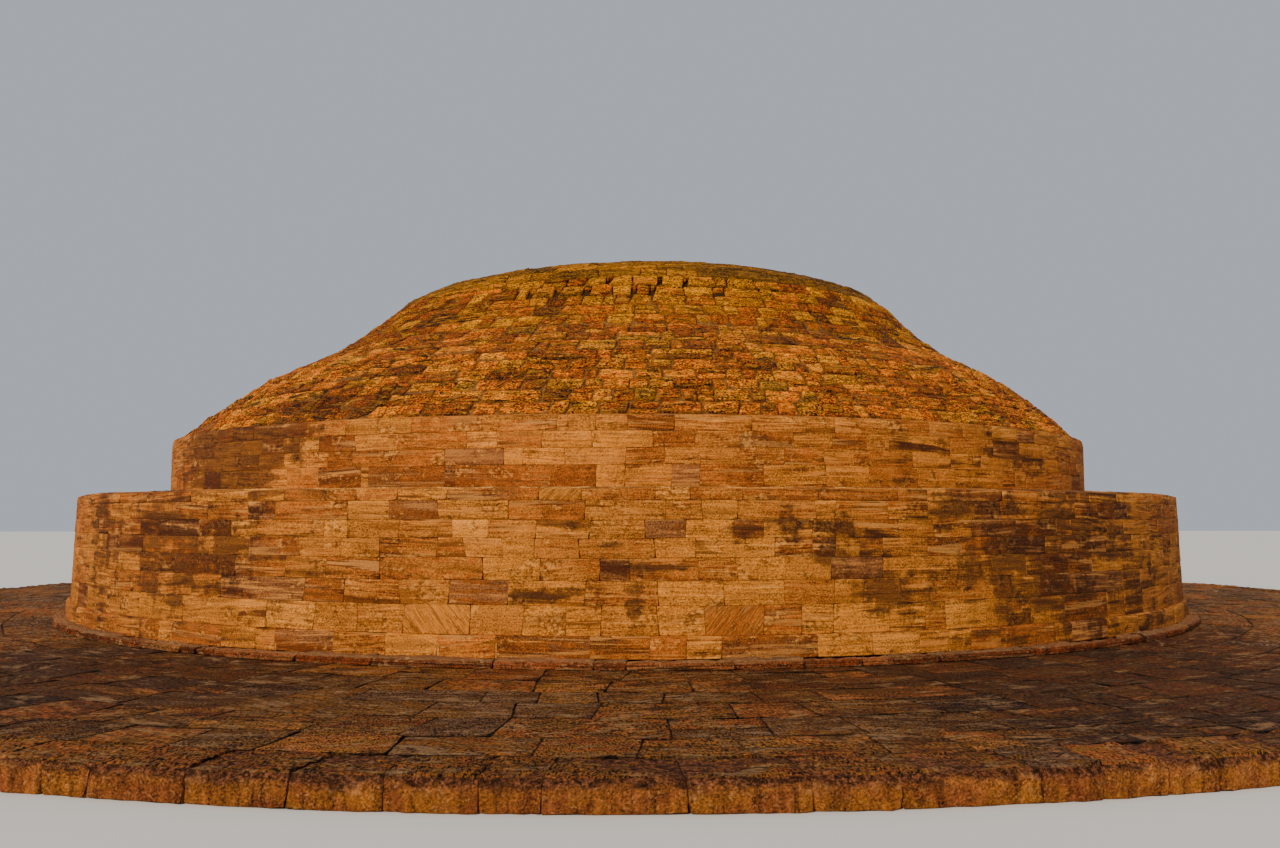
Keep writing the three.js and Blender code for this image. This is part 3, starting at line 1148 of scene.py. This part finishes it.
# Stones that the photo shows
BASE_ROWS = (
    Row(row=650, joints=(188, 227, 274, 333, 385, 437, 495, 590, 650, 687, 722, 818, 873, 920, 950),
        colors="plum gold plum brown gold russet umber russet russet tan umber gold cream tan",
        shades=(0, 0, 1, -1, 1, 1.5, -2, -2.5, 2, 1, -1, 0, -0.5, -1)),
)
LEDGE_ROWS = (
    Row(row=495, joints=(539, 581, 655), colors="tan brown", beds=(0.8, 0)),
)
LOWER_ROWS = (
    Row(row=618, joints=(182, 238, 266), colors="tan gold"),
    Row(row=623, joints=(267, 314, 357, 403, 470, 523, 566, 601, 658, 705, 764, 802, 834, 890, 926),
        colors="cream tan tan tan brown gold tan tan gold russet russet gold gold gold",
        shades=(1, 0, 0.5, 3, 0, 0, 1.5, 0, 1, 3, 2, 0, 1.5, 0),
        beds=(0, 0, 0, -0.9, 0, 0, 0, 0, 0, 0.9, 0, 0, 0, 0)),
    Row(row=620, joints=(946, 987), colors="cream"),
    Row(row=583, joints=(1074, 1122), colors="plum", shades=(0.5,)),
    Row(row=565, joints=(992, 1026), colors="gold", shades=(1,)),
    Row(row=592, joints=(220, 304, 344), colors="plum umber", shades=(1.5, 1)),
    Row(row=596, joints=(345, 399, 449, 508, 585, 658, 724, 785, 835),
        colors="brown brown plum tan brown gold gold brown",
        shades=(0, 0.5, 1, 0, 0, 0.5, 0, -0.5)),
    Row(row=571, joints=(235, 285, 326, 379, 483, 540, 600),
        colors="russet brown russet russet gold brown",
        shades=(1, -1, 0.5, -0.5, 0, 0)),
    Row(row=573, joints=(737, 786), colors="gold"),
    Row(row=551, joints=(249, 299, 341, 379, 437, 464, 502, 534, 579),
        colors="umber brown tan russet russet tan gold brown",
        shades=(1, 0, -1.5, -1, 0, 1, 0, 0)),
    Row(row=553, joints=(655, 696, 775, 813, 836),
        colors="tan gold russet umber",
        shades=(0.5, 0.5, 2, 0)),
    Row(row=532, joints=(231, 257, 324, 347, 399, 452, 488, 536, 590, 645, 686, 734, 764, 797),
        colors="gold brown gold brown brown cream brown tan tan plum gold umber gold",
        shades=(2, 0, 0, -0.5, 0, 2, 0, 0, -1, -1, 1, 0, 0)),
    Row(row=532, joints=(813, 854), colors="tan", shades=(-1,)),
    Row(row=511, joints=(248, 275, 348, 389, 438, 508, 585, 666, 702, 738, 816),
        colors="plum russet tan plum tan russet tan brown gold brown",
        shades=(0.5, 0.5, -1.5, 0, 0, 1, -0.5, 0, 0, -1)),
)
UPPER_ROWS = (
    Row(row=476, joints=(318, 361, 368, 445, 455, 549, 596),
        colors="umber gold umber plum umber umber",
        shades=(-1, 0, -1, -3, -0.5, -3)),
    Row(row=457, joints=(300, 328, 352, 445, 504, 523, 565, 626, 665, 700),
        colors="brown russet russet plum gold tan tan brown tan",
        shades=(0, -2, 1, 2, 1, 1, 1.5, 0, 1)),
    Row(row=440, joints=(300, 319, 355, 398, 467, 497, 542, 592, 653, 695),
        colors="gold umber tan russet tan russet tan gold russet",
        shades=(0, 0, 1, 1, 2, 0, 1, 1, -1)),
    Row(row=476, joints=(597, 625, 672, 700), colors="tan tan plum", shades=(1, 1, 2)),
)
TOP_ROWS = (
    Row(row=292,
        joints=(500, 529, 535, 554, 560, 583, 590, 612, 631, 636, 650, 655, 684, 714, 725, 760),
        colors="mustard gap ochre gap mustard gap orange mustard gap orange gap ochre mustard gap "
               "ochre",
        shades=(0, 0, 1, 0, 0, 0, 0, 1, 0, 0, 0, 0, 1, 0, 0)),
    Row(row=284, joints=(521, 543, 566, 584, 605, 609, 632, 658, 662, 684, 688, 716),
        colors="mustard ochre rust mustard gap mustard ochre gap mustard gap ochre",
        shades=(0, 0, 0, 0, 0, 1, 1, 0, 0, 0, 0)),
)
KERB_ROWS = (
    Row(row=790, joints=(183, 291)),
    Row(row=795, joints=(292, 380, 477, 544)),
    Row(row=795, joints=(557, 685, 810, 903, 1039)),
)

# Dark patches that the photo shows, as (column, row, half width, half height, depth), all but
# the depth in pixels: small lichen marks, and broad painted shadows of trees and painted shade
# Lichen marks in the middle of the lower drum, painted dappled tree shadows at its left and right
LOWER_STAINS_AND_SHADOWS = (
    (120, 560, 260, 110, 0.5), (190, 550, 110, 50, 0.4), (215, 560, 50, 30, 0.5),
    (170, 585, 44, 36, 0.4), (245, 520, 50, 20, 0.35), (100, 560, 34, 90, 0.5),
    (620, 550, 90, 40, 0.35), (600, 555, 40, 16, 0.35), (636, 597, 10, 13, 1.4),
    (634, 614, 7, 16, 0.9), (560, 593, 44, 4, 1), (640, 567, 44, 6, 0.8), (793, 510, 18, 11, 1.2),
    (796, 536, 14, 8, 1), (750, 530, 14, 9, 1.3), (828, 555, 14, 9, 1), (845, 540, 18, 34, 0.6),
    (886, 590, 24, 13, 1.1), (880, 540, 24, 24, 0.5), (960, 640, 30, 12, 0.6),
    (1060, 545, 120, 80, 0.55), (1090, 560, 260, 130, 0.6),
    (1000, 530, 60, 40, 0.2), (1120, 640, 60, 24, 0.4), (960, 500, 80, 14, 0.5),
)
# Painted tree shadows at the left and right of the upper drum, and smaller dark marks
UPPER_STAINS_AND_SHADOWS = (
    (225, 450, 90, 44, 1.5), (230, 450, 130, 60, 0.8), (300, 432, 50, 12, 0.9),
    (400, 470, 60, 7, 0.3), (1000, 460, 90, 32, 0.7), (1030, 462, 26, 18, 0.3),
    (905, 478, 34, 12, 0.6), (945, 440, 34, 12, 0.4),
)
# Painted shade on the dome's slopes
DOME_SHADE_PATCHES = (
    (330, 405, 90, 40, 0.9), (420, 330, 60, 60, 0.5), (960, 400, 70, 40, 0.5),
)
# Painted tree shadows on the terrace's left and right
TERRACE_SHADOWS = (
    (1130, 670, 430, 500, 1.2), (40, 680, 300, 400, 1),
)

# Pale pointing that the photo shows, as (left, right, top, bottom) pixels
LEDGE_POINTING = (
    (318, 360, 486, 488), (362, 420, 486, 488), (424, 505, 486, 488), (508, 600, 485.5, 488),
    (604, 640, 486, 487.5), (655, 700, 486, 487.5), (720, 800, 486, 487.5),
    (820, 890, 486.5, 488),
    (600, 655, 501.5, 503.5), (655, 668, 501, 505),
)
BASE_POINTING = (
    (385.2, 386.6, 641, 661), (437.2, 438.6, 642, 662), (495.2, 496.8, 643, 662),
    (590.2, 591.6, 643, 663), (650.2, 651.8, 643, 663), (274.6, 276.0, 640, 658),
    (333.4, 334.6, 640, 660), (500, 590, 641.2, 642.6), (600, 640, 641.2, 642.4),
)
UPPER_POINTING = ((548.2, 549.8, 470, 485), (596, 598.2, 470, 486))


def levels_between(low, high, shares):
    """Levels that divide a height by shares, which are given from the top down."""
    parts = np.array(shares[::-1], float)
    return np.concatenate([[low], low + np.cumsum(parts) / parts.sum() * (high - low)])


def pointing_cells(outline, marks):
    """Thin fillings of joints between pairs of columns and rows of the photo."""
    corners = []
    for left, right, top, bottom in marks:
        row, middle = (top + bottom) / 2, (left + right) / 2
        start, end = seen(left, row, outline).angle, seen(right, row, outline).angle
        low, high = seen(middle, bottom, outline).along, seen(middle, top, outline).along
        corners.append((start, start, end, end, low, high))
    values = np.array(corners).T
    rest = np.zeros(len(marks))
    return Cells(*values, rest, rest, rest)


def point_joints(name, outline, seed, marks):
    """Pale pointing in the joints of an outline's stones."""
    masonry = Masonry(outline, POINTING.palette, seed=seed)
    masonry.lay(pointing_cells(outline, marks), POINTING_CUT)
    masonry.make(name, shared_finish("pointing", POINTING), "core_fill")


class STUPA_OT_stage(bpy.types.Operator):
    """Camera at the photographed view, pale floor and soft light"""

    bl_idname = "stupa.stage"
    bl_label = "Stage"

    def execute(self, context):
        scene, light = context.scene, context.scene.stupa_light
        lens = bpy.data.cameras.new("camera")
        lens.sensor_width, lens.clip_end = SENSOR_WIDTH, VIEW_REACH
        lens.lens = FOCAL_PIXELS / PHOTO_WIDTH * SENSOR_WIDTH
        camera = add_object("camera", lens)
        camera.location = EYE
        camera.rotation_euler = (math.pi / 2 + EYE_PITCH, 0.0, -EYE_TURN)
        scene.camera = camera

        sides = ((-1, -1), (1, -1), (1, 1), (-1, 1))
        corners = [(x * FLOOR_REACH, y * FLOOR_REACH, -FLOOR_DROP) for x, y in sides]
        mesh = bpy.data.meshes.new("floor")
        mesh.from_pydata(corners, [], [(0, 1, 2, 3)])
        mesh.materials.append(floor_finish())
        add_object("floor", mesh)

        key = bpy.data.lights.new("key", "SUN")
        key.energy, key.color = light.key_strength, light.key_color
        key.angle = math.radians(SUN_SPREAD)
        sun = add_object("key", key)
        sun.rotation_euler = (math.radians(SUN_TILT), 0.0, math.radians(SUN_TURN))

        world = bpy.data.worlds.new("studio")
        world.use_nodes = True
        background = world.node_tree.nodes["Background"]
        background.inputs["Color"].default_value = FILL_COLOR
        background.inputs["Strength"].default_value = light.fill_strength
        scene.world = world
        return {"FINISHED"}


class STUPA_OT_fill(bpy.types.Operator):
    """Packed earth and mortar behind the stones"""

    bl_idname = "stupa.fill"
    bl_label = "Fill and mortar"

    def execute(self, context):
        mortar = fill_finish("joint_mortar", "98642E", "66401C", DOME_FOOT + MORTAR_SHADE_FROM)
        earth = fill_finish("terrace_earth", "3A2A1C", "1A120B")
        bed_top = TERRACE_TOP - EARTH_RECESS
        under_kerb, outside = bed_top - UNDER_KERB, KERB_RADIUS - KERB_RECESS
        inside = KERB_RADIUS - KERB_TOP_DEPTH + KERB_LAP
        rows = [(0, 0), (outside, 0), (outside, under_kerb), (inside, under_kerb),
                (inside - KERB_LAP, bed_top), (0, bed_top)]
        mesh = turned_mesh("terrace_earth", rows, EARTH_SIDES)
        add_piece("terrace_earth", mesh, earth, "terrace_flag", "terrace_bed")

        ledge = levels("lower_drum_ledge")[1] - WALL_RECESS
        lower, upper = LOWER_RADIUS - WALL_RECESS, UPPER_RADIUS - WALL_RECESS
        walls = (
            rounded_step(lower, TERRACE_TOP, ledge, LOWER_LAP, EDGE_CORNER),
            rounded_step(upper, ledge, DOME_FOOT - WALL_RECESS, UPPER_LAP, EDGE_CORNER),
        )
        dome = Outline([*dome_points(), (CLOSING_RADIUS, DOME_TOP)])
        along = np.linspace(0, dome.length, MORTAR_ROWS)
        recess = np.interp(along, dome.marks[LAST_BAND], (DOME_RECESS, RIM_RECESS))
        rows = [(0, TERRACE_TOP), *walls[0].points, *walls[1].points,
                *np.stack(dome.at(along) - recess, -1), (0, DOME_TOP - RIM_RECESS)]
        mesh = turned_mesh("drum_mortar", rows, MORTAR_SIDES, DOME_LEAN, MORTAR_ROUGH,
                           MORTAR_ROUGH_SIZE, MORTAR_SEED)
        add_piece("drum_mortar", mesh, mortar, "core_fill", "lower_drum_core", "upper_drum_core")
        return {"FINISHED"}


class STUPA_OT_terrace(bpy.types.Operator):
    """Flagstones in rings on the terrace, and the kerb round them"""

    bl_idname = "stupa.terrace"
    bl_label = "Terrace"

    def execute(self, context):
        size = sizes()
        outer, inner = KERB_RADIUS - KERB_TOP_DEPTH, FOOTING_RADIUS - PAVING_LAP
        paving = Outline([(outer, TERRACE_TOP), (inner, TERRACE_TOP)])
        masonry = Masonry(paving, FLAG.palette, TERRACE_SHADOWS, seed=11)
        masonry.lay_rings(size.flag_ring, size.flag_width, FLAG_CUT, slant=0.02, split=0.3)
        masonry.make("flagstones", stone_finish("flagstone", FLAG), "terrace_flag")

        kerb = rounded_step(KERB_RADIUS, 0.0, TERRACE_TOP, KERB_TOP_DEPTH, KERB_CORNER)
        masonry = Masonry(kerb, KERB.palette, seed=12)
        masonry.lay_course(-KERB_CUT.joint, kerb.length, size.kerb_stone, KERB_CUT, slant=0.016,
                           rows=KERB_ROWS)
        finish = stone_finish("kerb_stone", KERB, earthy_face)
        masonry.make("kerb_stones", finish, "kerb_stone", *nodes_named("terrace_kerb_"))
        return {"FINISHED"}


class STUPA_OT_lower_drum(bpy.types.Operator):
    """Footing strip, base course, wall and ledge of the lower drum"""

    bl_idname = "stupa.lower_drum"
    bl_label = "Lower drum"

    def execute(self, context):
        length = sizes().drum_block
        strip = step_of("drum_footing", FOOTING_RADIUS, FOOTING_TREAD, LOW_CORNER)
        masonry = Masonry(strip, FOOTING.palette, seed=21)
        masonry.lay_course(0.0, strip.length, FOOTING_STONE, STRIP_CUT, spread=0.5, slant=0.02)
        finish = stone_finish("footing_stone", FOOTING, limy_foot)
        masonry.make("footing_stones", finish, "footing_stone", "drum_footing")

        ashlar = shared_finish("ashlar", ASHLAR)
        tread = BASE_RADIUS - LOWER_FOOT_RADIUS + BASE_LAP
        base = step_of("drum_base_course", BASE_RADIUS, tread, LOW_CORNER)
        masonry = Masonry(base, ASHLAR.palette, LOWER_STAINS_AND_SHADOWS, seed=22)
        masonry.lay_course(0.0, base.length, length, EDGE_CUT, rows=BASE_ROWS)
        masonry.make("base_course_stones", ashlar, "drum_ashlar", "drum_base_course")
        point_joints("base_pointing", base, 26, BASE_POINTING)

        wall = wall_of("lower_drum_wall_01", LOWER_FOOT_RADIUS, LOWER_RADIUS)
        masonry = Masonry(wall, ASHLAR.palette, LOWER_STAINS_AND_SHADOWS, seed=23)
        masonry.lay_wall(LOWER_COURSES, length, LOWER_ROWS)
        masonry.make("lower_drum_stones", ashlar, "drum_ashlar", *nodes_named("lower_drum_wall_"))

        tread = LOWER_RADIUS - UPPER_RADIUS + LEDGE_LAP
        ledge = step_of("lower_drum_ledge", LOWER_RADIUS, tread, EDGE_CORNER)
        foot, top = levels("lower_drum_ledge")
        face = top - foot + LEDGE_STONE_DEPTH
        masonry = Masonry(ledge, LEDGE_PALETTE, LOWER_STAINS_AND_SHADOWS, seed=24)
        masonry.lay_course(0.0, face, length, EDGE_CUT, rows=LEDGE_ROWS)
        masonry.lay_rings(*LEDGE_SLABS, SLAB_CUT, face)
        masonry.make("lower_ledge_stones", ashlar, "ledge_stone", "lower_drum_ledge")
        point_joints("ledge_pointing", ledge, 25, LEDGE_POINTING)
        return {"FINISHED"}


class STUPA_OT_upper_drum(bpy.types.Operator):
    """Wall and ledge of the upper drum"""

    bl_idname = "stupa.upper_drum"
    bl_label = "Upper drum"

    def execute(self, context):
        length = sizes().drum_block
        ashlar = shared_finish("ashlar", ASHLAR)
        wall = wall_of("upper_drum_wall_01", UPPER_RADIUS, UPPER_RADIUS)
        masonry = Masonry(wall, ASHLAR.palette, UPPER_STAINS_AND_SHADOWS, seed=31)
        masonry.lay_wall(UPPER_COURSES, length, UPPER_ROWS)
        masonry.make("upper_drum_stones", ashlar, "drum_ashlar", *nodes_named("upper_drum_wall_"))
        point_joints("drum_pointing", wall, 33, UPPER_POINTING)

        ledge = step_of("upper_drum_ledge", UPPER_RADIUS, UPPER_TREAD, EDGE_CORNER)
        masonry = Masonry(ledge, LEDGE_PALETTE, UPPER_STAINS_AND_SHADOWS, seed=32)
        masonry.lay_course(0.0, ledge.length, length, EDGE_CUT)
        masonry.make("upper_ledge_stones", ashlar, "ledge_stone", "upper_drum_ledge")
        return {"FINISHED"}


class STUPA_OT_dome(bpy.types.Operator):
    """Rows of rough stone on the dome, the slabs of its rim and the crown"""

    bl_idname = "stupa.dome"
    bl_label = "Dome"

    def execute(self, context):
        finishes = stone_finish("rubble", RUBBLE), stone_finish("high_rubble", HIGH_RUBBLE)
        points = dome_points()
        for band, node in enumerate(nodes_named("dome_band_")):
            outline = Outline(points[band:band + 2], DOME_LEAN)
            high_up = band >= LOW_BANDS
            look = HIGH_RUBBLE if high_up else RUBBLE
            splits = HIGH_SPLITS if high_up else LOW_SPLITS
            masonry = Masonry(outline, look.palette, DOME_SHADE_PATCHES, seed=41 + band)
            edges = np.linspace(0, outline.length, BAND_ROWS[band] + 1)
            for low, high in zip(edges[:-1], edges[1:]):
                cells = masonry.course(low, high, sizes().rubble, spread=0.42, slant=0.012,
                                       rows=TOP_ROWS)
                masonry.lay(cells.split(masonry.rng, splits, look.palette), RUBBLE_CUT)
            masonry.make(f"{node}_stones", finishes[high_up], "dome_rubble", node)

        slab = stone_finish("rim_slab", RIM)
        turns = [(radius, DOME_FOOT + height) for radius, height in RIM_TURNS]
        rim = Outline([points[-2], *turns, points[-1]], DOME_LEAN)
        masonry = Masonry(rim, RIM.palette, seed=51)
        masonry.lay_rings(*RIM_SLABS, RIM_CUT, slant=0.01)
        masonry.make("rim_slabs", slab, "rim_slab", "dome_rim")

        radius, level = points[-1]
        arc = quarter_turn(0.0, level, radius, DOME_TOP - level, CROWN_STEPS, CROWN_REACH)
        masonry = Masonry(Outline(arc, DOME_LEAN), RIM.palette, seed=52)
        masonry.lay_rings(*CROWN_SLABS, SLAB_CUT)
        masonry.make("crown_slabs", slab, "rim_slab", "dome_crown")
        return {"FINISHED"}


class STUPA_PT_panel(bpy.types.Panel):
    """Sidebar panel that lists the stupa's settings and steps"""

    bl_idname = "STUPA_PT_panel"
    bl_label = "Stupa"
    bl_space_type = "VIEW_3D"
    bl_region_type = "UI"
    bl_category = "Stupa"

    def draw(self, context):
        for group in (context.scene.stupa_sizes, context.scene.stupa_light):
            for key in group.__annotations__:
                self.layout.prop(group, key)
        for operator in OPERATORS:
            self.layout.operator(operator.bl_idname)


OPERATORS = (
    STUPA_OT_stage, STUPA_OT_fill, STUPA_OT_terrace, STUPA_OT_lower_drum, STUPA_OT_upper_drum,
    STUPA_OT_dome,
)
CLASSES = (StupaSizes, StupaLight, *OPERATORS, STUPA_PT_panel)


def register():
    """Registers the classes and adds the settings to the scene."""
    for cls in CLASSES:
        bpy.utils.register_class(cls)
    bpy.types.Scene.stupa_sizes = PointerProperty(type=StupaSizes)
    bpy.types.Scene.stupa_light = PointerProperty(type=StupaLight)


def unregister():
    """Removes the settings and the classes."""
    del bpy.types.Scene.stupa_light
    del bpy.types.Scene.stupa_sizes
    for cls in reversed(CLASSES):
        bpy.utils.unregister_class(cls)


def main():
    """Builds everything in order."""
    register()
    for operator in OPERATORS:
        group, name = operator.bl_idname.split(".")
        getattr(getattr(bpy.ops, group), name)()


if __name__ == "__main__":
    main()
